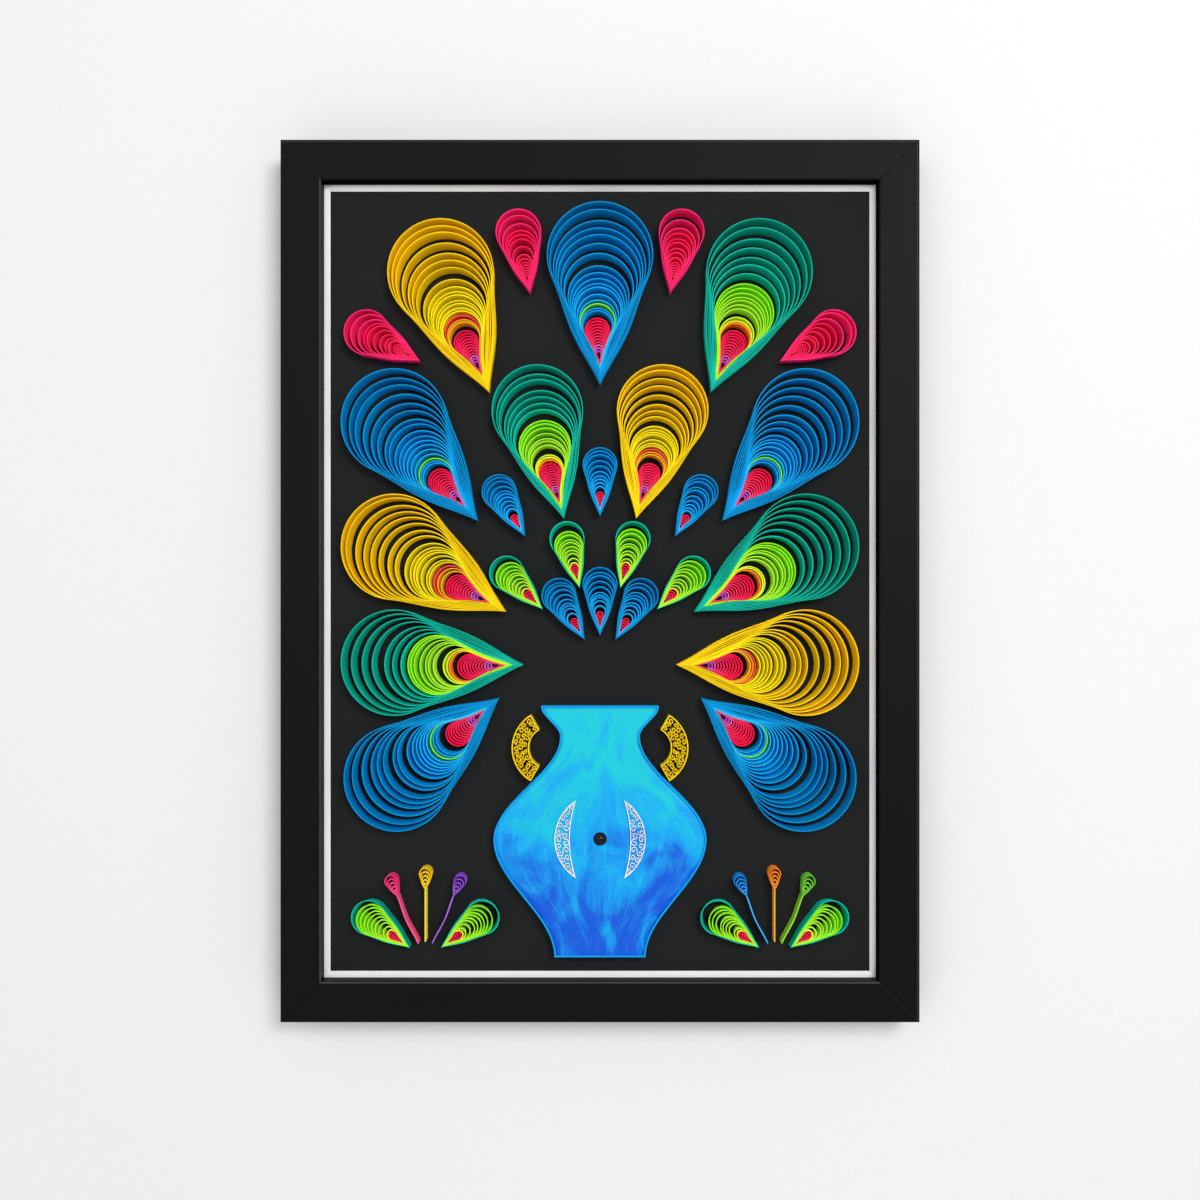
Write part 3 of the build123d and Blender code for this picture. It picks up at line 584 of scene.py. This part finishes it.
# Sprig buds: tiny drops, each on a stem of one narrow strip glued on edge, three to a sprig.
# The stem runs on into the bud's tip, and the bud is rolled round a small core.
BUD_LENGTH, BUD_RADIUS, BUD_CORNERS = 12.0, 3.3, 56
BUD_TURNS, BUD_THICK, BUD_FILLED = np.array([0.0, 0.27, 0.54, 0.8, 1.2]), 0.4, 0.7
STEM_FROM, STEM_LENGTH, STEM_INTO_BUD, STEM_THICK = 9.0, 27.0, 0.8, 0.6
STEM_BOW, STEM_DROP, STEM_POINTS = 0.9, 0.3, 24
STEM_BEARINGS = (66, 90, 114)
BUDS = (("violet", "#9150D0", "#A868E0"), ("gold", "#FFD61C", "#FFE640"), ("pink", "#FF3C86", "#FF5E98"),
        ("green", "#6CCC3C", "#96E23C"), ("orange", "#FF8E20", "#FFB040"), ("blue", "#1C8CE0", "#46B0FA"))
run = np.linspace(0.0, 1.0, STEM_POINTS)[:, None]
turns, room = coil_turns(BUD_TURNS, BUD_LENGTH, BUD_RADIUS, 0.0, BUD_CORNERS)
for number, (word, dark, light) in enumerate(BUDS):
    sprig, stalk = divmod(number, len(STEM_BEARINGS))
    root = SPRIG_ROOTS[sprig]
    ahead = out_from(np.zeros(2), STEM_BEARINGS[stalk], 1.0)
    bowed = np.array([-ahead[1], ahead[0]]) * (stalk - 1) * STEM_BOW
    stem = (root + (STEM_FROM + (STEM_LENGTH + STEM_INTO_BUD) * run) * ahead
            + np.sin(np.pi * run) ** 2 * bowed)
    loops = pointed(turns, root + (STEM_FROM + STEM_LENGTH) * ahead, ahead)
    head = standing_loops(loops, np.minimum(BUD_THICK, BUD_FILLED * room), board_front, strip_front, 1)
    foot = standing_ribbons(stem[None], STEM_THICK, board_front, strip_front + STEM_DROP * MM)
    corners, faces = merge(head, foot)
    bud = make_piece(f"{word}_bud", corners, faces.tolist(), quilling_paper,
                     f"stem_bud_{number + 1}")
    head_dye = np.repeat(dye(len(BUD_TURNS), dark, light), 4 * BUD_CORNERS, axis=0)
    colour_strips(bud, np.concatenate([head_dye, dye(len(corners) - len(head_dye), light)]))


# Window mat: a narrow white border with a bevelled opening, cut from mat board.
# It lies between the frame's lip and the art board and keeps the paper clear of the rails.

# Mat board: bleached pulp, soft white and matt, with a fine tooth
mat, tree, shader, place = start_material("white_mat_board")
tooth = add(tree, "TexNoise", {"Vector": place, "Scale": 1 / (1.1 * MM), "Detail": 4.0}).outputs[0]
whites = {0: tooth, 6: linear("#F6F7F5"), 7: linear("#FFFFFE")}
white = add(tree, "Mix", whites, data_type="RGBA").outputs[2]
rough = add(tree, "MapRange", {0: tooth, 3: 0.68, 4: 0.85}).outputs[0]
bump = add(tree, "Bump", {"Strength": 0.2, "Distance": 0.06 * MM, "Height": tooth}).outputs[0]
join(tree, shader, {"Base Color": white, "Roughness": rough, "Normal": bump})
dress(mat, "window_mat")


# Frame rails: one rabbeted wooden moulding, eased at its edges, sprayed black and cut at 45 degrees.
# The four lengths are glued at the mitres and drawn tight by steel wedges from the back.
frame_low, frame_high = cad_box
half_wide, half_tall = (frame_high.x - frame_low.x) / 2, (frame_high.z - frame_low.z) / 2
rail_low, rail_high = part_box("top_rail")
rail_face = rail_high.z - rail_low.z
# Mitre hairline's half width; the painted highlight lines' half width, and how far they lie in from the
# outer edge and out from the lip
SEAM_HALF, HIGHLIGHT_HALF, OUTER_HIGHLIGHT, INNER_HIGHLIGHT = 0.17, 0.3, 1.2, 0.5
LONG_GRAIN, CROSS_GRAIN = 1 / (55 * MM), 1 / (1.4 * MM)


def sprayed_rail(name, grain, across):
    """Satin black paint over fine wood, with low streaks along the rail. Where an eased edge looks up or
    right, toward the lamp, it carries a thin grey line of painted highlight: the outer edge of the top and
    right rails, the inner edge of the bottom and left ones. The mitre is a hairline, a painted highlight in
    grey at the top-left and bottom-right corners and black as a dark joint at the other two.
    Seams, and the lip's inside where it looks down or left, were hardly sprayed and have no shine."""
    material, tree, shader, place = start_material(name)
    pores = add(tree, "Mapping", {"Vector": place, "Scale": grain}).outputs[0]
    streak = add(tree, "TexNoise", {"Vector": pores, "Scale": 1.0, "Detail": 5.0,
                                    "Roughness": 0.6}).outputs[0]
    peel = add(tree, "TexNoise", {"Vector": place, "Scale": 1 / (1.6 * MM), "Detail": 2.0}).outputs[0]
    centred = add(tree, "VectorMath", {0: place, 1: (0.0, 0.0, middle_z)}, operation="SUBTRACT").outputs[0]
    spot = add(tree, "SeparateXYZ", {"Vector": centred}).outputs
    wide = add(tree, "Math", {0: spot[0]}, operation="ABSOLUTE").outputs[0]
    tall = add(tree, "Math", {0: spot[2]}, operation="ABSOLUTE").outputs[0]
    level = add(tree, "Math", {0: wide, 1: half_tall - half_wide}, operation="ADD").outputs[0]
    seam = add(tree, "Math", {0: level, 1: tall, 2: SEAM_HALF * MM}, operation="COMPARE").outputs[0]
    corner = add(tree, "Math", {0: spot[0], 1: spot[2]}, operation="MULTIPLY").outputs[0]
    highlit_seam = add(tree, "Math", {0: corner, 1: 0.0}, operation="LESS_THAN").outputs[0]
    reach = add(tree, "Math", {0: level, 1: tall}, operation="MAXIMUM").outputs[0]
    above = add(tree, "Math", {0: spot[across], 1: 0.0}, operation="GREATER_THAN").outputs[0]
    lip_at = half_tall - rail_face
    # Painted highlight: a thin grey line on each eased edge that looks up or right, where the lamp's light
    # would catch it
    highlights_at = {0: above, 3: lip_at + INNER_HIGHLIGHT * MM, 4: half_tall - OUTER_HIGHLIGHT * MM}
    line = add(tree, "MapRange", highlights_at).outputs[0]
    edge = add(tree, "Math", {0: reach, 1: line, 2: HIGHLIGHT_HALF * MM}, operation="COMPARE").outputs[0]
    blacks = {0: streak, 6: linear("#090A0A"), 7: linear("#101112")}
    paint = add(tree, "Mix", blacks, data_type="RGBA").outputs[2]
    # Greys of the painted highlight lines, lighter on the inner edges of the left and bottom rails
    highlight_greys = {0: above, 6: linear("#464848"), 7: linear("#2E3030")}
    grey = add(tree, "Mix", highlight_greys, data_type="RGBA").outputs[2]
    paint_and_highlight = add(tree, "Mix", {0: edge, 6: paint, 7: grey}, data_type="RGBA").outputs[2]
    # Painted highlight on the mitre hairline at the top-left and bottom-right corners; at the other two it
    # is black, a dark joint
    hairlines = {0: highlit_seam, 6: linear("#000000"), 7: linear("#2C2E2E")}
    hairline = add(tree, "Mix", hairlines, data_type="RGBA").outputs[2]
    lined = add(tree, "Mix", {0: seam, 6: paint_and_highlight, 7: hairline}, data_type="RGBA").outputs[2]
    rough = add(tree, "MapRange", {0: streak, 3: 0.4, 4: 0.54}).outputs[0]
    lip = add(tree, "Math", {0: reach, 1: lip_at, 2: SEAM_HALF * MM}, operation="COMPARE").outputs[0]
    dull = add(tree, "Math", {0: lip, 1: above, 2: seam}, operation="MULTIPLY_ADD", use_clamp=True)
    shine = add(tree, "MapRange", {0: dull.outputs[0], 3: 0.06, 4: 0.0}).outputs[0]
    relief = add(tree, "Math", {0: streak, 1: 0.5, 2: peel}, operation="MULTIPLY_ADD").outputs[0]
    bump = add(tree, "Bump", {"Strength": 0.16, "Distance": 0.1 * MM, "Height": relief}).outputs[0]
    join(tree, shader, {"Base Color": lined, "Roughness": rough, "Normal": bump,
                        "Specular IOR Level": shine})
    return material


level_rail = sprayed_rail("satin_black_wood_level", (LONG_GRAIN, CROSS_GRAIN, CROSS_GRAIN), 2)
upright_rail = sprayed_rail("satin_black_wood_upright", (CROSS_GRAIN, CROSS_GRAIN, LONG_GRAIN), 0)
dress(level_rail, "top_rail", "bottom_rail")
dress(upright_rail, "left_rail", "right_rail")


# Back panel: a sheet of hardboard that closes the frame, pressed from wood fibre and cut to the rabbet.
# Steel points pushed into the rails hold it.

# Hardboard: tan brown, felted fibres in clouds, matt
hardboard, tree, shader, place = start_material("hardboard")
fibres = add(tree, "TexNoise", {"Vector": place, "Scale": 1 / (1.8 * MM), "Detail": 6.0,
                                "Roughness": 0.7}).outputs[0]
cloud = add(tree, "TexNoise", {"Vector": place, "Scale": 1 / (24 * MM), "Detail": 3.0}).outputs[0]
tan = add(tree, "Mix", {0: cloud, 6: linear("#86643F"), 7: linear("#A07C52")}, data_type="RGBA").outputs[2]
felted = add(tree, "Mix", {0: fibres, 6: linear("#6B4D2E"), 7: tan}, data_type="RGBA").outputs[2]
rough = add(tree, "MapRange", {0: fibres, 3: 0.65, 4: 0.9}).outputs[0]
bump = add(tree, "Bump", {"Strength": 0.4, "Distance": 0.15 * MM, "Height": fibres}).outputs[0]
join(tree, shader, {"Base Color": felted, "Roughness": rough, "Normal": bump})
dress(hardboard, "back_panel")


# Steel fittings: retaining points, mitre wedges and the sawtooth hanger, stamped from strip,
# and the two nails that hold the hanger on the top rail.

# Zinc-plated steel: grey, half bright, with fine rolling lines and duller patches
steel, tree, shader, place = start_material("zinc_plated_steel")
drawn_out = (1 / (8 * MM), 1 / (0.5 * MM), 1 / (0.5 * MM))
lines = add(tree, "Mapping", {"Vector": place, "Scale": drawn_out}).outputs[0]
rolled = add(tree, "TexNoise", {"Vector": lines, "Scale": 1.0, "Detail": 3.0}).outputs[0]
patch = add(tree, "TexNoise", {"Vector": place, "Scale": 1 / (4 * MM), "Detail": 4.0}).outputs[0]
zinc = add(tree, "Mix", {0: patch, 6: linear("#9A9DA1"), 7: linear("#C4C7CA")}, data_type="RGBA").outputs[2]
rough = add(tree, "MapRange", {0: patch, 3: 0.28, 4: 0.48}).outputs[0]
bump = add(tree, "Bump", {"Strength": 0.15, "Distance": 0.05 * MM, "Height": rolled}).outputs[0]
join(tree, shader, {"Base Color": zinc, "Roughness": rough, "Normal": bump, "Metallic": 1.0})
dress(steel, "retaining_points", "corner_wedges", "sawtooth_hanger")

# Nails: a shank with a point and a low domed head, turned about an axis along the depth
nails_low, nails_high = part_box("hanger_nails")
NAIL_HEAD, NAIL_SHANK, NAIL_DOME, NAIL_POINT = 1.8, 0.7, 0.6, 1.5
NAIL_ROWS, NAIL_SIDES, NAIL_POLE = 9, 28, 0.02


def turned(profile, centres, count):
    """Surfaces of revolution about axes along the depth: a profile of radius and depth at each centre."""
    around = np.linspace(0, 2 * np.pi, count, endpoint=False)
    circle = np.stack([np.cos(around), np.sin(around)], axis=-1)
    flat = centres[:, None, None] + profile[:, 0, None, None] * circle
    depth = np.broadcast_to(profile[:, 1, None], flat.shape[:-1])
    rings = np.stack([flat[..., 0], depth, flat[..., 1]], axis=-1)
    return rings, capped_tube(len(profile), count, -1, len(centres))


def pair_in(low, high, radius):
    """The centres of two round pieces in a box: a radius in from its left and right sides, half way up."""
    half_way = (low.z + high.z) / 2
    return np.array([[low.x + radius, half_way], [high.x - radius, half_way]])


reach = np.linspace(1.0, NAIL_POLE, NAIL_ROWS)
dome_depth = nails_high.y - NAIL_DOME * MM * (1 - np.sqrt(1 - reach ** 2))
under_head = nails_high.y - NAIL_DOME * MM
profile = np.concatenate([
    [[NAIL_POLE * NAIL_SHANK * MM, nails_low.y], [NAIL_SHANK * MM, nails_low.y + NAIL_POINT * MM],
     [NAIL_SHANK * MM, under_head], [NAIL_HEAD * MM, under_head]],
    np.stack([reach * NAIL_HEAD * MM, dome_depth], axis=-1)[1:]])
corners, faces = turned(profile, pair_in(nails_low, nails_high, NAIL_HEAD * MM), NAIL_SIDES)
make_piece("hanger_nail_pair", corners, faces, steel, "hanger_nails")


# Wall bumpers: two discs of grey felt, punched out and stuck on the lower corners,
# so that the frame stands off the wall as far as the hanger holds it at the top.
felt_low, felt_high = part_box("wall_bumpers")
FELT_RADIUS, FELT_EASE, FELT_POLE = 5.0, 0.7, 0.02
FELT_ROWS, FELT_SIDES = 6, 40

# Wool felt: matted grey fibres, soft and dull, lighter at the fuzz
felt, tree, shader, place = start_material("grey_wool_felt")
fuzz = add(tree, "TexNoise", {"Vector": place, "Scale": 1 / (0.6 * MM), "Detail": 6.0,
                              "Roughness": 0.75}).outputs[0]
grey = add(tree, "Mix", {0: fuzz, 6: linear("#4B4C4E"), 7: linear("#83858A")}, data_type="RGBA").outputs[2]
rough = add(tree, "MapRange", {0: fuzz, 3: 0.85, 4: 1.0}).outputs[0]
bump = add(tree, "Bump", {"Strength": 0.7, "Distance": 0.2 * MM, "Height": fuzz}).outputs[0]
join(tree, shader, {"Base Color": grey, "Roughness": rough, "Normal": bump, "Sheen Weight": 0.3})
ease = np.linspace(0, np.pi / 2, FELT_ROWS)
rim = np.stack([FELT_RADIUS - FELT_EASE + FELT_EASE * np.cos(ease),
                -FELT_EASE + FELT_EASE * np.sin(ease)], axis=-1)
thick = (felt_high.y - felt_low.y) / MM
profile = np.concatenate([[[FELT_POLE, -thick], [FELT_RADIUS, -thick]], rim, [[FELT_POLE, 0.0]]])
profile = profile * MM + [0.0, felt_high.y]
corners, faces = turned(profile, pair_in(felt_low, felt_high, FELT_RADIUS * MM), FELT_SIDES)
make_piece("felt_bumper_pair", corners, faces, felt, "wall_bumpers")


# Stage: a pale painted wall just behind the frame and a pale floor well below it.
# The wall shows only its front, so the frame can be looked at from behind, and it shades nothing.
WALL_Y, WALL_TOP, FLOOR_Z, STAGE_REACH = 0.4 * MM, 3.0, -1.25, 4.0
FLOOR_GLOW, AMBIENT = 0.6, 0.46


def plane(name, points, material):
    """A flat stage sheet from its four corners."""
    mesh = bpy.data.meshes.new(name)
    mesh.from_pydata(points, [], [(0, 1, 2, 3)])
    mesh.materials.append(material)
    sheet = bpy.data.objects.new(name, mesh)
    bpy.context.scene.collection.objects.link(sheet)
    return sheet


def seen_directly(tree):
    """1 for a ray from the eye, from a mirror or through glass, and 0 for scattered light."""
    ray = add(tree, "LightPath", {}).outputs
    mirrored = add(tree, "Math", {0: ray["Is Camera Ray"], 1: ray["Is Glossy Ray"]}, operation="MAXIMUM")
    through = {0: mirrored.outputs[0], 1: ray["Is Transmission Ray"]}
    return add(tree, "Math", through, operation="MAXIMUM").outputs[0]


# Wall paint: chalky off-white, with the faint stipple of a roller
plaster, tree, shader, place = start_material("pale_wall_paint")
roller = add(tree, "TexNoise", {"Vector": place, "Scale": 1 / (3 * MM), "Detail": 3.0}).outputs[0]
stipple = {0: roller, 6: linear("#EAEAEA"), 7: linear("#EFEFEF")}
chalk = add(tree, "Mix", stipple, data_type="RGBA").outputs[2]
join(tree, shader, {"Base Color": chalk, "Roughness": 0.9})
behind = add(tree, "NewGeometry", {}).outputs["Backfacing"]
clear = add(tree, "BsdfTransparent", {}).outputs[0]
one_way = add(tree, "MixShader", {0: behind, 1: shader.outputs[0], 2: clear}).outputs[0]
join(tree, tree.nodes["Material Output"], {"Surface": one_way})
wall = plane("wall", [(-STAGE_REACH, WALL_Y, FLOOR_Z), (STAGE_REACH, WALL_Y, FLOOR_Z),
                      (STAGE_REACH, WALL_Y, WALL_TOP), (-STAGE_REACH, WALL_Y, WALL_TOP)], plaster)
wall.visible_shadow = False
wall.visible_diffuse = False
wall.visible_glossy = False

# Screed: smooth and pale in soft clouds, and it looks as pale far from the lamps as near them
screed, tree, shader, place = start_material("pale_floor")
cloud = add(tree, "TexNoise", {"Vector": place, "Scale": 1 / (120 * MM), "Detail": 3.0}).outputs[0]
clouded = {0: cloud, 6: linear("#EDEDED"), 7: linear("#F4F4F4")}
pale = add(tree, "Mix", clouded, data_type="RGBA").outputs[2]
join(tree, shader, {"Base Color": pale, "Roughness": 0.85})
glow = add(tree, "Emission", {"Color": pale}).outputs[0]
evenly = add(tree, "MapRange", {0: seen_directly(tree), 3: 0.0, 4: FLOOR_GLOW}).outputs[0]
pale_all_over = add(tree, "MixShader", {0: evenly, 1: shader.outputs[0], 2: glow}).outputs[0]
join(tree, tree.nodes["Material Output"], {"Surface": pale_all_over})
plane("floor", [(-STAGE_REACH, -STAGE_REACH, FLOOR_Z), (STAGE_REACH, -STAGE_REACH, FLOOR_Z),
                (STAGE_REACH, STAGE_REACH, FLOOR_Z), (-STAGE_REACH, STAGE_REACH, FLOOR_Z)], screed)

# Soft daylight from all sides; the camera and mirrors see it as white
world = bpy.data.worlds.new("soft_daylight")
bpy.context.scene.world = world
world.use_nodes = True
tree = world.node_tree
strength = add(tree, "MapRange", {0: seen_directly(tree), 3: AMBIENT, 4: 1.0}).outputs[0]
join(tree, tree.nodes["Background"], {"Color": linear("#FFFFFF"), "Strength": strength})


def soft_box(name, place, size, watts):
    """A square area lamp at a place, turned to face the middle of the picture."""
    lamp = bpy.data.lights.new(name, "AREA")
    lamp.size = size
    lamp.energy = watts
    box = bpy.data.objects.new(name, lamp)
    box.location = place
    facing = Vector((0.0, 0.0, middle_z)) - Vector(place)
    box.rotation_euler = facing.to_track_quat("-Z", "Y").to_euler()
    bpy.context.scene.collection.objects.link(box)
    return box


# Two lamps stand in front, right and left, and one stands behind, which no gloss mirrors
soft_box("key_window", place=(0.62, -1.75, 0.42), size=0.7, watts=20.5)
soft_box("front_fill", place=(-0.9, -1.9, 0.2), size=1.4, watts=6.5)
back_window = soft_box("back_window", place=(-0.9, 1.5, 0.7), size=1.0, watts=22.0)
back_window.visible_glossy = False


# Camera: straight in front of the frame, a little below its middle.
# Its lens takes in a square that is VIEW_WIDTH metres wide at the frame's front face.
VIEW_DISTANCE, VIEW_WIDTH, VIEW_DROP = 0.66, 0.63, 0.010
lens = bpy.data.cameras.new("camera")
lens.sensor_width = 36.0
lens.lens = lens.sensor_width * VIEW_DISTANCE / VIEW_WIDTH
lens.clip_start = 0.01
camera = bpy.data.objects.new("camera", lens)
camera.location = (0.0, frame_low.y - VIEW_DISTANCE, middle_z - VIEW_DROP)
camera.rotation_euler = (np.pi / 2, 0.0, 0.0)
bpy.context.scene.collection.objects.link(camera)
bpy.context.scene.camera = camera
bpy.context.scene.view_settings.view_transform = "Standard"
